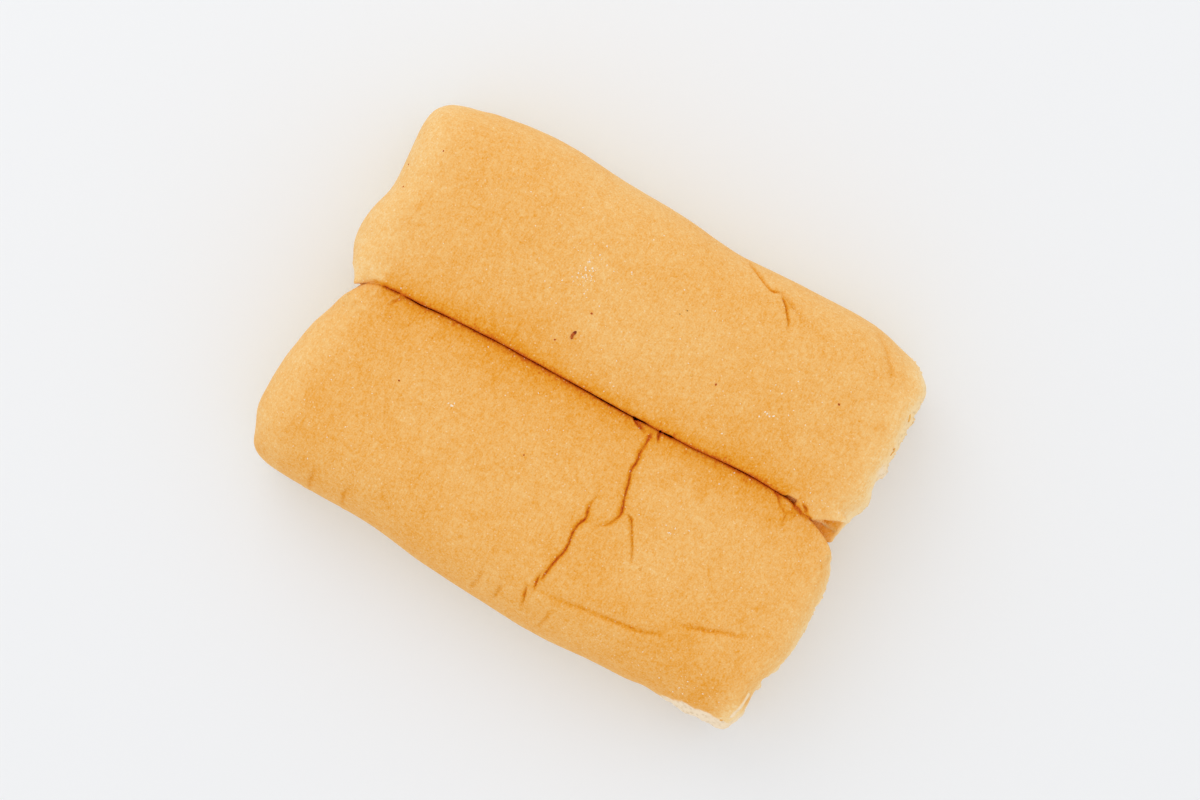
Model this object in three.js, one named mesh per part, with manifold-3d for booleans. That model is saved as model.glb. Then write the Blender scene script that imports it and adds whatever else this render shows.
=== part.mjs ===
// A pair of soft oblong bread rolls, baked side by side and still joined along their flanks.
// Millimetres, +Z up. +X runs along the rolls towards their torn ends, +Y runs across them,
// and the origin is under the middle of the pair, on the surface it rests on.

import * as THREE from "three";
import { mergeVertices } from "three/addons/utils/BufferGeometryUtils.js";
import Module from "manifold-3d";

const wasm = await Module();
wasm.setup();

// Nominal block that each roll rises from, and how finely it is divided.
const LENGTH = 160;
const WIDTH = 57;
const STEPS = { along: 36, across: 12, up: 9 };

// Seen from above, the line where the rolls meet, at even steps from left to right.
const SEAM = [
  -1.7, 2.2, 2.7, 2.95, 2.85, 3.3, 3.65, 3.85, 3.95, 4.2, 4.2, 4.2, 4.2, 4.2, 4.2, 4.2, 4.15,
  4.15, 4.15, 4.35, 4.35, 4.6, 4.7, 5.05, 5.3, 5.5, 5.6, 5.4, 5.1, 4.05, 3, 1.1, -0.8,
];

// The same for each roll's outer edge. The two ends are at even steps from the seam outwards.
const BACK_ROLL = {
  side: 1,
  height: 38,
  outer: [54, 58.5, 60.5, 59.5, 58.5, 57, 58, 58, 54],
  left: [-72, -77, -78.9, -78.4, -76.5, -76.5, -77, -78.2, -80.1],
  right: [75, 75.6, 78.2, 77.5, 78.1, 78.2, 77.6, 78.2, 75.4],
};
const FRONT_ROLL = {
  side: -1,
  height: 36.5,
  outer: [-55.5, -56, -56.3, -58.5, -60, -60.8, -59.5, -59, -59.3],
  left: [-71.5, -74.6, -77.2, -78.6, -79.7, -79.9, -79.7, -78, -79.2],
  right: [75.4, 78.7, 79.7, 79.8, 79.7, 78.5, 76.3, 76.9, 76.8],
};

// Rounding of a roll: how far each side's curve reaches in, and how square each curve is. Seen
// from above, the corner at the seam's left-hand end is squarer than the others.
const WIDEST_AT = 16;
const REACH = { left: 18, torn: 8, seamLeft: 13, seamTorn: 6, outer: 21 };
const SQUARENESS = { plan: 4, seamLeft: 9, seamTop: 12, outerTop: 2.6, endTop: 3.2, base: 4.5 };

// The crown is lower towards its long sides and ends, by these shares of its rise.
const CROWN_FALL = { across: 0.1, along: 0.06 };

// The skins are one up to this height, and part above it by a narrow slit. At the left-hand end
// they are one to the top, and at the torn end the slit opens to a shallower notch, which lies on
// the back roll's side of the seam.
const JOIN = { top: 17, closedTop: 45, closedTo: 0.05, overlap: 0.5, slit: 0.5, blend: 2 };
const NOTCH = { depth: 8, power: 30, rise: 10 };

// Soft lumps of the torn crumb at the right-hand ends.
const CRUMB = { swell: 0.7, lumpAcross: 7, lumpUp: 9 };

// Creases of the crust, as points seen from above, with the width and depth at their deepest.
const CREASES = [
  {
    width: 1.4,
    depth: 1.5,
    path: [[17.5, 1.1], [17.4, -4.8], [17.6, -10.6], [19.2, -15.5], [20.8, -19.8], [19.5, -23.3], [17, -26]],
  },
  {
    width: 1.4,
    depth: 1.4,
    path: [[11.2, -15.5], [12.5, -21.3], [12.1, -29.1], [12.4, -34.9], [11.1, -41.7], [10, -48.5]],
  },
  {
    width: 1,
    depth: 0.7,
    path: [[22.4, -19.8], [25.8, -22.8], [29.2, -28.6]],
  },
  {
    width: 2,
    depth: 0.9,
    path: [[15.6, -48.4], [26, -47], [34, -46], [42, -44.6], [46, -42.8]],
  },
  {
    width: 1.6,
    depth: 0.7,
    path: [[50, -37.6], [58, -34.9], [66, -32.2]],
  },
  {
    width: 1.2,
    depth: 1,
    path: [[18.8, 55.6], [22.3, 53.7], [26, 51.9], [29, 52]],
  },
  {
    width: 1.2,
    depth: 1,
    path: [[30.1, 52], [32.2, 49.9], [35.2, 45]],
  },
];
const CREASE_STEP = 3;
const CREASE_RISE = 3;
const CREASE_TIP = 0.15;

/** Smooth curve through values at even steps, read at a fraction from 0 to 1. */
function along(values, fraction) {
  const points = values.map((value, i) => new THREE.Vector2(i / (values.length - 1), value));
  const spline = new THREE.SplineCurve(points);
  return spline.getPoint(THREE.MathUtils.clamp(fraction, 0, 1)).y;
}

/** How far a value lies beyond a low and a high limit, as a share of each limit's reach. */
function beyond(value, low, lowReach, high, highReach) {
  if (value < low) return (value - low) / lowReach;
  if (value > high) return (value - high) / highReach;
  return 0;
}

/** Length of two offsets taken together: round at a squareness of 2, and squarer above it. */
function combined(a, b, squareness) {
  return (Math.abs(a) ** squareness + Math.abs(b) ** squareness) ** (1 / squareness);
}

/** A point of the nominal block, x from the left end and y from the seam, pulled in to a loaf. */
function rounded(x, y, z, height) {
  const lastX = LENGTH - REACH.torn;
  const lastY = WIDTH - REACH.outer;
  const seamReach = THREE.MathUtils.lerp(REACH.seamLeft, REACH.seamTorn, x / LENGTH);
  const outX = beyond(x, REACH.left, REACH.left, lastX, REACH.torn);
  const outY = beyond(y, seamReach, seamReach, lastY, REACH.outer);
  const outZ = beyond(z, WIDEST_AT, WIDEST_AT, WIDEST_AT, height - WIDEST_AT);
  const seamCorner = THREE.MathUtils.lerp(SQUARENESS.seamLeft, SQUARENESS.plan, x / LENGTH);
  const plan = combined(outX, outY, outY < 0 ? seamCorner : SQUARENESS.plan);
  const towardsSide = outY ** 4 / Math.max(outX ** 4 + outY ** 4, 1e-9);
  const sideTop = outY < 0 ? SQUARENESS.seamTop : SQUARENESS.outerTop;
  const top = THREE.MathUtils.lerp(SQUARENESS.endTop, sideTop, towardsSide);
  const size = combined(plan, outZ, outZ > 0 ? top : SQUARENESS.base);
  const shrink = size > 0 ? 1 - 1 / size : 0;
  return {
    x: x - shrink * outX * (outX < 0 ? REACH.left : REACH.torn),
    y: y - shrink * outY * (outY < 0 ? seamReach : REACH.outer),
    z: z - shrink * outZ * (outZ < 0 ? WIDEST_AT : height - WIDEST_AT),
  };
}

/** Height after the crown falls away towards the sides and the ends. */
function crowned(z, alongShare, acrossShare) {
  const across = (2 * acrossShare - 1) ** 2;
  const lengthwise = (2 * alongShare - 1) ** 4;
  const fall = CROWN_FALL.across * across + CROWN_FALL.along * lengthwise;
  return z > WIDEST_AT ? WIDEST_AT + (z - WIDEST_AT) * (1 - fall) : z;
}

/** Outward swell of the torn crumb on the right-hand end. */
function crumbSwell(y, z) {
  const lumps = Math.sin(y / CRUMB.lumpAcross) * Math.cos(z / CRUMB.lumpUp);
  return CRUMB.swell * lumps;
}

/** Shift of a roll's skin at the seam: past it where the rolls are one, short of it at the slit. */
function seamShift(z, alongShare, side) {
  const notch = alongShare ** NOTCH.power;
  const top = alongShare < JOIN.closedTo ? JOIN.closedTop : JOIN.top + NOTCH.rise * notch;
  const parted = THREE.MathUtils.smoothstep(z, top - JOIN.blend, top + JOIN.blend);
  const slit = JOIN.slit / 2 + (side > 0 ? NOTCH.depth * notch : 0);
  return THREE.MathUtils.lerp(-JOIN.overlap, slit, parted);
}

/** One roll as a closed, evenly divided block, shaped to its outline and crown. */
function rollGeometry(roll) {
  const { side, height } = roll;
  const block = new THREE.BoxGeometry(LENGTH, WIDTH, height, STEPS.along, STEPS.across, STEPS.up);
  block.translate(LENGTH / 2, 0, height / 2);
  const position = block.attributes.position;
  for (let i = 0; i < position.count; i += 1) {
    const fromSeam = WIDTH / 2 + side * position.getY(i);
    const p = rounded(position.getX(i), fromSeam, position.getZ(i), height);
    const alongShare = p.x / LENGTH;
    const acrossShare = p.y / WIDTH;
    const parting = seamShift(p.z, alongShare, side) * (1 - acrossShare) ** 4;
    const skin = along(SEAM, alongShare) + side * parting;
    const y = THREE.MathUtils.lerp(skin, along(roll.outer, alongShare), acrossShare);
    const left = along(roll.left, acrossShare);
    const right = along(roll.right, acrossShare) + crumbSwell(y, p.z) * alongShare ** 20;
    const x = THREE.MathUtils.lerp(left, right, alongShare);
    position.setXYZ(i, x, y, crowned(p.z, alongShare, acrossShare));
  }
  return block;
}

/** A closed geometry as a solid that can be joined and cut. */
function solid(geometry) {
  geometry.deleteAttribute("normal");
  geometry.deleteAttribute("uv");
  const merged = mergeVertices(geometry);
  const vertProperties = new Float32Array(merged.attributes.position.array);
  const triVerts = new Uint32Array(merged.index.array);
  return new wasm.Manifold(new wasm.Mesh({ numProp: 3, vertProperties, triVerts }));
}

/** A joined and cut solid as a geometry again. */
function geometryOf(manifold) {
  const mesh = manifold.getMesh();
  const geometry = new THREE.BufferGeometry();
  geometry.setAttribute("position", new THREE.BufferAttribute(mesh.vertProperties, 3));
  geometry.setIndex(new THREE.BufferAttribute(mesh.triVerts, 1));
  geometry.computeVertexNormals();
  return geometry;
}

/** Drops a point seen from above onto the crust. */
function onCrust(crust, [x, y]) {
  const above = new THREE.Vector3(x, y, 2 * BACK_ROLL.height);
  const down = new THREE.Raycaster(above, new THREE.Vector3(0, 0, -1));
  return down.intersectObject(crust)[0].point;
}

/** Wedge that opens a crease: three corners at each step of its path, narrow at both tips. */
function creaseWedge(crease, crust) {
  const route = new THREE.CatmullRomCurve3(crease.path.map((point) => onCrust(crust, point)));
  const steps = Math.ceil(route.getLength() / CREASE_STEP);
  const corners = [];
  for (let i = 0; i <= steps; i += 1) {
    const flat = route.getPointAt(i / steps);
    const middle = onCrust(crust, [flat.x, flat.y]);
    const tangent = route.getTangentAt(i / steps);
    const across = new THREE.Vector3(-tangent.y, tangent.x, 0).normalize();
    const open = Math.max(CREASE_TIP, Math.sqrt(1 - ((2 * i) / steps - 1) ** 2));
    const depth = crease.depth * open;
    const half = (crease.width / 2) * open * (1 + CREASE_RISE / depth);
    const top = middle.clone().setZ(middle.z + CREASE_RISE);
    corners.push(top.clone().addScaledVector(across, half));
    corners.push(top.clone().addScaledVector(across, -half));
    corners.push(middle.clone().setZ(middle.z - depth));
  }
  const faces = [0, 2, 1];
  for (let i = 0; i < steps; i += 1) {
    for (let corner = 0; corner < 3; corner += 1) {
      const a = 3 * i + corner;
      const b = 3 * i + ((corner + 1) % 3);
      faces.push(a, b, b + 3, a, b + 3, a + 3);
    }
  }
  faces.push(3 * steps, 3 * steps + 1, 3 * steps + 2);
  return new THREE.BufferGeometry().setFromPoints(corners).setIndex(faces);
}

const joined = solid(rollGeometry(BACK_ROLL)).add(solid(rollGeometry(FRONT_ROLL)));
const crust = new THREE.Mesh(geometryOf(joined));
const cut = (bread, crease) => bread.subtract(solid(creaseWedge(crease, crust)));
const creased = CREASES.reduce(cut, joined);

const rolls = new THREE.Mesh(
  geometryOf(creased),
  new THREE.MeshStandardMaterial({ color: 0xebb062, roughness: 0.85, metalness: 0 }),
);
rolls.name = "joined_rolls";

const pair = new THREE.Group();
pair.add(rolls);

export default pair;
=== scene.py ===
from collections import namedtuple
import math
import random

import bpy
import numpy as np
from mathutils import Matrix, Vector, noise


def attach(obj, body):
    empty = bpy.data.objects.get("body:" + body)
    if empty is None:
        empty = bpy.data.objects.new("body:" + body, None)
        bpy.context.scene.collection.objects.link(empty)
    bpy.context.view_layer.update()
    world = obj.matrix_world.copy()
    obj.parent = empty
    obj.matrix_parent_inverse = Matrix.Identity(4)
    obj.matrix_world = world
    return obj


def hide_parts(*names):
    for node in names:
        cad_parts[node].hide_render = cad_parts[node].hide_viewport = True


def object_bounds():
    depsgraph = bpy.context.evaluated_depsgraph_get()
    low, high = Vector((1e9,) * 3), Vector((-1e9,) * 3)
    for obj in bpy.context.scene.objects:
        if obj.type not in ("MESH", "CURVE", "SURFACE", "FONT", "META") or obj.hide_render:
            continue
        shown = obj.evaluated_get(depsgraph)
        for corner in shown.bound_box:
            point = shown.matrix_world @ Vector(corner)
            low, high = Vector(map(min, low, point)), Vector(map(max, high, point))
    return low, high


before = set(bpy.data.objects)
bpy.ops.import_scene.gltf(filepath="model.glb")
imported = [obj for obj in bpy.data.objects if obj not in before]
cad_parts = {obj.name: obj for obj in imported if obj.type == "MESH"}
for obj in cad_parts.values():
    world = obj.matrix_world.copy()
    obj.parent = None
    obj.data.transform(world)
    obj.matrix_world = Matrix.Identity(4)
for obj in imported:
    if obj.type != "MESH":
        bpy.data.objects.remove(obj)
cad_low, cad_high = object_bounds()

# Two soft oblong bread rolls, baked side by side and still joined along the seam.
# The seam runs along X, the torn ends are at +X, and the taller back roll is at +Y.
# Shapes are worked out in millimetres and written to the meshes in metres.
MM = 0.001

# ===== The loaf form: sizes of a roll's block, and how its sides round off =====

BLOCK_LENGTH = 160
BLOCK_WIDTH = 57
# The height at which a roll is widest.
WIDEST_AT = 16
# How far the rounding of each side reaches into the block.
LEFT_REACH = 18
TORN_REACH = 8
OUTER_REACH = 21
SEAM_REACH_LEFT = 13
SEAM_REACH_TORN = 6
# How square each rounding is: 2 is a circle, and a larger number is squarer.
PLAN_SQUARE = 4
SEAM_LEFT_SQUARE = 9
SEAM_TOP_SQUARE = 34
OUTER_TOP_SQUARE = 2.6
END_TOP_SQUARE = 3.2
BASE_SQUARE = 4.5
# How much lower the crown is at its sides and ends, as a share of its height.
CROWN_FALL_ACROSS = 0.1
CROWN_FALL_ALONG = 0.06

# Seen from above, at even steps: the seam and outer edges from left to right,
# and each roll's ends from the seam outwards.
SEAM_LINE = [
    -1.7, 2.2, 2.7, 2.95, 2.85, 3.3, 3.65, 3.85, 3.95, 4.2, 4.2, 4.2, 4.2, 4.2, 4.2, 4.2, 4.15, 4.15, 4.15,
    4.35, 4.35, 4.6, 4.7, 5.05, 5.3, 5.5, 5.6, 5.4, 5.1, 4.05, 3, 1.1, -0.8,
]
BACK_ROLL = {
    "side": 1,
    "height": 38,
    "outer": [54, 58.5, 60.5, 59.5, 58.5, 57, 58, 58, 54],
    "left": [-72, -77, -78.9, -78.4, -76.5, -76.5, -77, -78.2, -80.1],
    "right": [75, 75.6, 78.2, 77.5, 78.1, 78.2, 77.6, 78.2, 75.4],
}
FRONT_ROLL = {
    "side": -1,
    "height": 36.5,
    "outer": [-55.5, -56, -56.3, -58.5, -60, -60.8, -59.5, -59, -59.3],
    "left": [-71.5, -74.6, -77.2, -78.6, -79.7, -79.9, -79.7, -78, -79.2],
    "right": [75.4, 78.7, 79.7, 79.8, 79.7, 78.5, 76.3, 76.9, 76.8],
}

# Along the seam, by x: how high the rolls are one, and how wide the slit above is. At the torn
# end the slit opens to a hole and then to a gap, on the back roll's side of the seam.
JOIN_TOP = [
    (-80, 40), (-64.8, 40), (-63.8, 34), (-60, 33.8), (-58.5, 32), (-57, 17), (54.5, 17), (56.5, 32.5),
    (58, 33.6), (60.1, 33.6), (60.6, 40), (64.6, 40), (65.8, 34), (67.5, 32), (70, 31), (74, 29), (76, 27),
]
SLIT_WIDTH = [
    (-64, 0.07), (-57, 0.07), (-55.5, 0.2), (-54, 0.2), (-52, 0.09), (10, 0.09), (11.4, 0.38),
    (14.4, 0.38), (15.6, 0.12), (19.6, 0.15), (20.6, 0.6), (22.6, 0.6), (23.8, 0.18), (28, 0.1),
    (54.6, 0.12), (56.3, 0.3), (57, 0.8), (58, 1.15), (60.1, 1.5), (60.6, 0.15), (64.6, 0.1), (65.4, 0.2),
    (66.4, 1), (68.1, 2.4), (70.1, 4.1), (71, 4.9), (72.2, 5.9), (74, 7), (76, 8),
]
ONE_SIDED_FROM = (55.5, 57.5)
JOIN_OVERLAP = 0.5
JOIN_BLEND = 2
# How fast the slit's shift of the skin fades across a roll.
SLIT_FADE = 4
SHARE_STEPS = 3


def smooth_step(value, low, high):
    t = np.clip((value - low) / (high - low), 0, 1)
    return t * t * (3 - 2 * t)


def mix(a, b, share):
    return a + (b - a) * share


def between(values, limits):
    return (values > limits[0]) & (values < limits[1])


def curve_through(values, share):
    """Smooth curve through values at even steps, read at shares from 0 to 1."""
    values = np.asarray(values, dtype=float)
    last = len(values) - 1
    place = np.clip(share, 0, 1) * last
    start = np.minimum(place.astype(int), last - 1)
    t = place - start
    ends = np.concatenate([values[:1], values, values[-1:]])
    a, b, c, d = (ends[start + k] for k in range(4))
    out, back = (c - a) / 2, (d - b) / 2
    return (2 * b - 2 * c + out + back) * t**3 + (3 * c - 3 * b - 2 * out - back) * t**2 + out * t + b


def table(pairs, where):
    """Straight runs between (place, value) pairs."""
    places, values = zip(*pairs)
    return np.interp(where, places, values)


def beyond(value, low, low_reach, high, high_reach):
    """How far a value lies beyond its limits, as a share of each limit's reach."""
    return np.minimum(value - low, 0) / low_reach + np.maximum(value - high, 0) / high_reach


def combined(a, b, square):
    return (np.abs(a) ** square + np.abs(b) ** square) ** (1 / square)


def loaf(block_points, roll):
    """Block points (x from the left end, y from the seam, z up) to points of the roll."""
    x, y, z = block_points.T
    reach = mix(SEAM_REACH_LEFT, SEAM_REACH_TORN, x / BLOCK_LENGTH)
    crown = roll["height"] - WIDEST_AT
    out_x = beyond(x, LEFT_REACH, LEFT_REACH, BLOCK_LENGTH - TORN_REACH, TORN_REACH)
    out_y = beyond(y, reach, reach, BLOCK_WIDTH - OUTER_REACH, OUTER_REACH)
    out_z = beyond(z, WIDEST_AT, WIDEST_AT, WIDEST_AT, crown)
    towards_side = out_y**4 / np.maximum(out_x**4 + out_y**4, 1e-9)
    top_square = mix(END_TOP_SQUARE, np.where(out_y < 0, SEAM_TOP_SQUARE, OUTER_TOP_SQUARE), towards_side)
    plan_square = np.where(out_y < 0, mix(SEAM_LEFT_SQUARE, PLAN_SQUARE, x / BLOCK_LENGTH), PLAN_SQUARE)
    size = combined(combined(out_x, out_y, plan_square), out_z, np.where(out_z > 0, top_square, BASE_SQUARE))
    pull = 1 - 1 / np.maximum(size, 1e-6)
    along = (x - pull * out_x * np.where(out_x < 0, LEFT_REACH, TORN_REACH)) / BLOCK_LENGTH
    across = (y - pull * out_y * np.where(out_y < 0, reach, OUTER_REACH)) / BLOCK_WIDTH
    up = z - pull * out_z * np.where(out_z < 0, WIDEST_AT, crown)

    left = curve_through(roll["left"], across)
    right = curve_through(roll["right"], across)
    plan_x = mix(left, right, along)
    join = table(JOIN_TOP, plan_x)
    parted = smooth_step(up, join - JOIN_BLEND, join + JOIN_BLEND)
    slit_share = 0.5 + 0.5 * roll["side"] * smooth_step(plan_x, *ONE_SIDED_FROM)
    shift = mix(-JOIN_OVERLAP, table(SLIT_WIDTH, plan_x) * slit_share, parted) * (1 - across) ** SLIT_FADE
    seam_edge = curve_through(SEAM_LINE, along) + roll["side"] * shift
    plan_y = mix(seam_edge, curve_through(roll["outer"], along), across)
    fall = CROWN_FALL_ACROSS * (2 * across - 1) ** 2 + CROWN_FALL_ALONG * (2 * along - 1) ** 4
    plan_z = np.where(up > WIDEST_AT, WIDEST_AT + (up - WIDEST_AT) * (1 - fall), up)
    return np.stack([plan_x, plan_y, plan_z], axis=1)


def roll_edge(key, share, is_back):
    """The outer edge at shares of the length, or the left or right end at shares of the width."""
    return np.where(is_back, curve_through(BACK_ROLL[key], share), curve_through(FRONT_ROLL[key], share))


def shares(points):
    """Where points lie on their roll: along it, across it from the seam, and on which side of the seam."""
    x, y = points[:, 0], points[:, 1]
    along = (x + BLOCK_LENGTH / 2) / BLOCK_LENGTH
    is_back = y > curve_through(SEAM_LINE, along)
    for _ in range(SHARE_STEPS):
        seam = curve_through(SEAM_LINE, along)
        across = np.clip((y - seam) / (roll_edge("outer", along, is_back) - seam), 0, 1)
        left, right = (roll_edge(key, across, is_back) for key in ("left", "right"))
        along = np.clip((x - left) / (right - left), 0, 1)
    return along, across, is_back


# ===== Creases and folds of the crust, as lines seen from above =====

# A crease has a gentle slope on one side (ramp 1: left of the line's direction, -1: right of it),
# a narrow core, and a steep wall with a small lip on the other side. Its colour is deeper or paler
# than around it, which fades over the halo. In the sunken kinds this is partly the crust's deeper
# bake and partly painted shade and bounce light in the hollow. The raised kinds are paler along
# their crest. All widths are in millimetres.
CreaseKind = namedtuple("CreaseKind", "slope slope_depth core core_depth wall lip lip_width baked halo fade")
SHARP = CreaseKind(1.4, 0.28, 0.3, 0.38, 0.26, 0.16, 0.35, 0.45, 1.7, 2)
FAINT = CreaseKind(0.9, 0.14, 0.3, 0.26, 0.35, 0.1, 0.4, 0.27, 1.1, 1.5)
FOLD = CreaseKind(3, 0.5, 0.4, 0.14, 0.6, 0.22, 1.6, 0.24, 1.3, 1.4)
NOTCH = CreaseKind(1, 0.35, 0.5, 0.55, 0.4, 0.1, 0.4, 0.36, 1.1, 1.1)
WRINKLE = CreaseKind(0.9, 0.16, 0.5, 0.1, 0.7, 0.1, 0.7, 0.1, 1.2, 1.2)
RIDGE = CreaseKind(0.7, -0.2, 0.6, -0.7, 0.6, -0.1, 0.5, -0.14, 0.8, 1)
CURL = CreaseKind(0.6, -0.2, 0.55, -0.7, 0.4, 0, 0.5, -0.26, 0.8, 0.9)
# Painted shade, with some deeper colour of the crust, where the fused seam dies out at the left end over a
# slight dip in the skin.
SEAM_END_SHADE = CreaseKind(1, 0.15, 1, 0.25, 1, 0, 1, 0.24, 1.6, 0.8)

# Each crease: its kind, its sloping side, how open it is from start to end, and its line.
CREASES = {
    "long_crease": (SHARP, -1, [0.6, 0.8, 1, 1, 1, 0.9, 0.85, 0.6, 0.15], [
        (17.5, 2.1), (17.5, -0.5), (17.3, -3.3), (17.8, -6), (17.5, -8.4), (18.5, -11.8), (19.3, -15),
        (19.9, -17.2), (20.8, -19.6), (20.3, -21.8), (18.7, -24.5), (16, -26.4)]),
    "lower_crease": (SHARP, -1, [0.1, 0.2, 0.5, 0.85, 1, 1, 1, 1.05, 1, 0.7], [
        (11.2, -15.9), (12.7, -18.4), (12.5, -20.5), (12.4, -22.6), (13.1, -25.5), (12.2, -27.9),
        (11.9, -30.5), (12.5, -34.9), (11.6, -39.2), (10.9, -43), (10.7, -45.4)]),
    "lower_crease_end": (SHARP, -1, [0.4, 0.9, 0.8, 0.4], [
        (9.7, -44.3), (9.8, -46), (10, -47.6), (10.2, -49.3)]),
    "lower_crease_tail": (FAINT, -1, [0.3, 1.4, 1.2, 0.5], [
        (8.1, -48.8), (8.5, -50.6), (9, -52.2), (9.4, -54.6)]),
    "branch": (FAINT, -1, [0.9, 1.2, 1.1, 1, 0.5], [
        (22.6, -19.3), (24.1, -20.3), (25.6, -22.8), (27.8, -26.6), (29.4, -29.8)]),
    "long_fold": (FOLD, 1, [0.2, 0.6, 0.9, 1, 0.9, 0.3], [
        (12.5, -48.6), (19, -48.1), (26, -47), (34, -46), (42, -44.6), (46, -42.8)]),
    "end_fold": (FOLD, 1, [0.3, 0.9, 1, 0.9, 0.2], [
        (49, -38), (52, -37.5), (54.5, -36.6), (58.4, -35.1), (61, -34.1), (63.5, -33.6), (66, -33.2)]),
    "back_crease": (FAINT, 1, [0.7, 1.1, 1.2, 1.4, 0.9, 0.4], [
        (18.8, 55.6), (22.3, 53.7), (26, 51.9), (27.6, 51.6), (29, 52), (30, 52.4)]),
    "back_crease_end": (FAINT, 1, [0.5, 1.3, 1.4, 1.2, 1.1, 0.4], [
        (30.1, 52), (30.9, 51), (32.2, 49.9), (33.4, 48.2), (34.9, 46.2), (35.4, 44.8)]),
    "back_branch": (WRINKLE, -1, [0.9, 1.8, 1.4, 0.5], [(29.5, 52.3), (32, 51.6), (35, 50.2), (39, 48.6)]),
    "back_fold": (FOLD, -1, [0.2, 0.5, 0.7, 0.6, 0.1], [
        (57.4, 56.4), (61.4, 53.3), (63.9, 50.4), (65.7, 47.8), (67.9, 43.6)]),
    "seam_notch_left": (NOTCH, 1, [0.5, 1, 0.8, 0.5, 0.1], [
        (11.6, 3.9), (12.8, 3.3), (13.9, 2.8), (15.2, 2.3), (16.6, 1.8)]),
    "seam_notch_right": (NOTCH, 1, [0.5, 1, 0.7, 0.2], [
        (19.2, 4.2), (19.4, 3.2), (19.8, 2.2), (20.2, 1.2)]),
    "torn_end_seam": (FAINT, -1, [0.8, 1.1, 0.9, 1, 1.2, 1], [
        (60.6, 4.25), (61.2, 4), (61.8, 3.7), (62.5, 3.45), (63.6, 3.3), (64.7, 3.35), (65.4, 3.42)]),
    "torn_end_skin": (FAINT, 1, [0.6, 1.6, 1.6, 1.2, 0.9, 0.5], [
        (61.9, 5.65), (62.5, 5.3), (63.1, 4.95), (63.5, 4.5), (63.9, 4), (64.2, 3.65)]),
    "torn_end_bridge": (RIDGE, 1, [0.3, 0.8, 0.8, 0.3], [(60.6, 6), (61.6, 5.4), (62.4, 4.8), (63.2, 4.2)]),
    "gap_skin": (CURL, 1, [0.4, 0.8, 1, 1, 0.9, 0.6], [
        (65.9, 3.5), (67.3, 3.9), (68.7, 4.3), (70.2, 3.95), (71.9, 3.8), (73.6, 3.5)]),
    "gap_fold": (FAINT, 1, [0.2, 0.5, 0.4, 0.1], [(69.1, 4.9), (69.9, 4.6), (70.6, 4.5), (71.2, 4.5)]),
    "torn_end_pucker": (FAINT, 1, [0.8, 0.9, 0.6, 0.45, 0.6, 0.3], [
        (54, 4.9), (55.4, 4.1), (57, 2.6), (59, 1.3), (59.5, 0), (59.9, -2.2)]),
    "left_pucker": (RIDGE, 1, [0.5, 0.7, 0.5, 0.3], [(-58.5, 3), (-59.4, 1.8), (-60.6, 0), (-61.4, -1.8)]),
    "left_pucker_side": (WRINKLE, 1, [0.9, 1.2, 1.2, 0.3], [
        (-58, 2.2), (-59, 1), (-59.9, -0.4), (-60.3, -1.6)]),
    "left_seam_end_shade": (SEAM_END_SHADE, 1, [0.7, 1, 1, 0.7, 0.2], [
        (-65, 2.75), (-65.6, 2.7), (-66.4, 2.4), (-67.4, 1.6), (-68, 0.9)]),
    "scratch": (RIDGE, 1, [0.1, 0.35, 0.35, 0.1], [(-50.6, 42), (-49, 43.4), (-47.2, 45), (-45.8, 46)]),
    "edge_wrinkle_1": (WRINKLE, 1, [0.2, 1.6, 1.3], [(-56.6, -49), (-56.8, -52), (-56.4, -55)]),
    "edge_wrinkle_2": (WRINKLE, -1, [0.2, 1.6, 1.3], [(-46, -48.4), (-46.8, -51.5), (-46.2, -54.4)]),
    "edge_wrinkle_3": (WRINKLE, 1, [0.2, 1.6, 1.3], [(-4.6, -50), (-4.2, -53.5), (-4.9, -57)]),
    "edge_wrinkle_4": (WRINKLE, -1, [0.2, 1.6, 1.3], [(1.6, -51), (2, -54), (1.7, -57)]),
    "edge_wrinkle_5": (WRINKLE, 1, [0.2, 1.6, 1.2], [(16.4, -51.6), (16.8, -54.4), (16.2, -57.2)]),
}

# Small swellings of the skin beside the creases: x, y, radius and height.
LUMPS = [
    (17, 3.2, 1.3, 0.4), (22.7, -20.4, 0.7, 0.2), (18.6, 0.8, 0.7, 0.2), (61, -40, 6, 0.3),
    (38, -50.5, 8, 0.25), (29.2, 53, 1.5, 0.35), (12.2, -51, 2, 0.25),
]

# The halo beyond a crease's steep wall, as a share of the one on its slope.
WALL_HALO = 0.75
SLOPE_CURVE = 1.7
PATH_STEPS = 24
WIGGLE = 0.1
WIGGLE_LENGTH = 2
# Each noise has a start of its own, so that no two have the same lumps.
SEEDS = {"swells": 0, "wiggle": 1, "ragged": 7, "side_edge": 9, "torn_lumps": 11, "hollows": 15, "bake": 21,
         "low_crumb": 23, "bits": 31, "flake": 33}


def noise_at(points, length, seed=0):
    """Smooth noise from -1 to 1, with lumps about the given length, at each point."""
    offset = Vector((17.3 * seed, -9.1 * seed, 4.7 * seed))
    return np.array([noise.noise(Vector(p) / length + offset) for p in points])


def beside_line(plan, line, margin):
    """Which plan points are in a line's box, widened by a margin."""
    return np.all(between(plan, (line.min(axis=0) - margin, line.max(axis=0) + margin)), axis=1)


def noise_layers(points, layers, seed):
    """Noise for each (height, length) pair."""
    return [height * noise_at(points, length, seed + k) for k, (height, length) in enumerate(layers)]


def bump(points, x, y, radius):
    """1 at a place seen from above, falling smoothly to 0 around it."""
    return np.exp(-((points[:, 0] - x) ** 2 + (points[:, 1] - y) ** 2) / radius**2)


def line_points(path):
    """A crease's line: a smooth curve through its points, with small natural wiggles."""
    share = np.linspace(0, 1, PATH_STEPS + 1)
    line = np.stack([curve_through([p[k] for p in path], share) for k in range(2)], axis=1)
    flat = np.column_stack([line, np.zeros(len(line))])
    for k in range(2):
        line[:, k] += WIGGLE * noise_at(flat, WIGGLE_LENGTH, SEEDS["wiggle"] + k)
    return line


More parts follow.
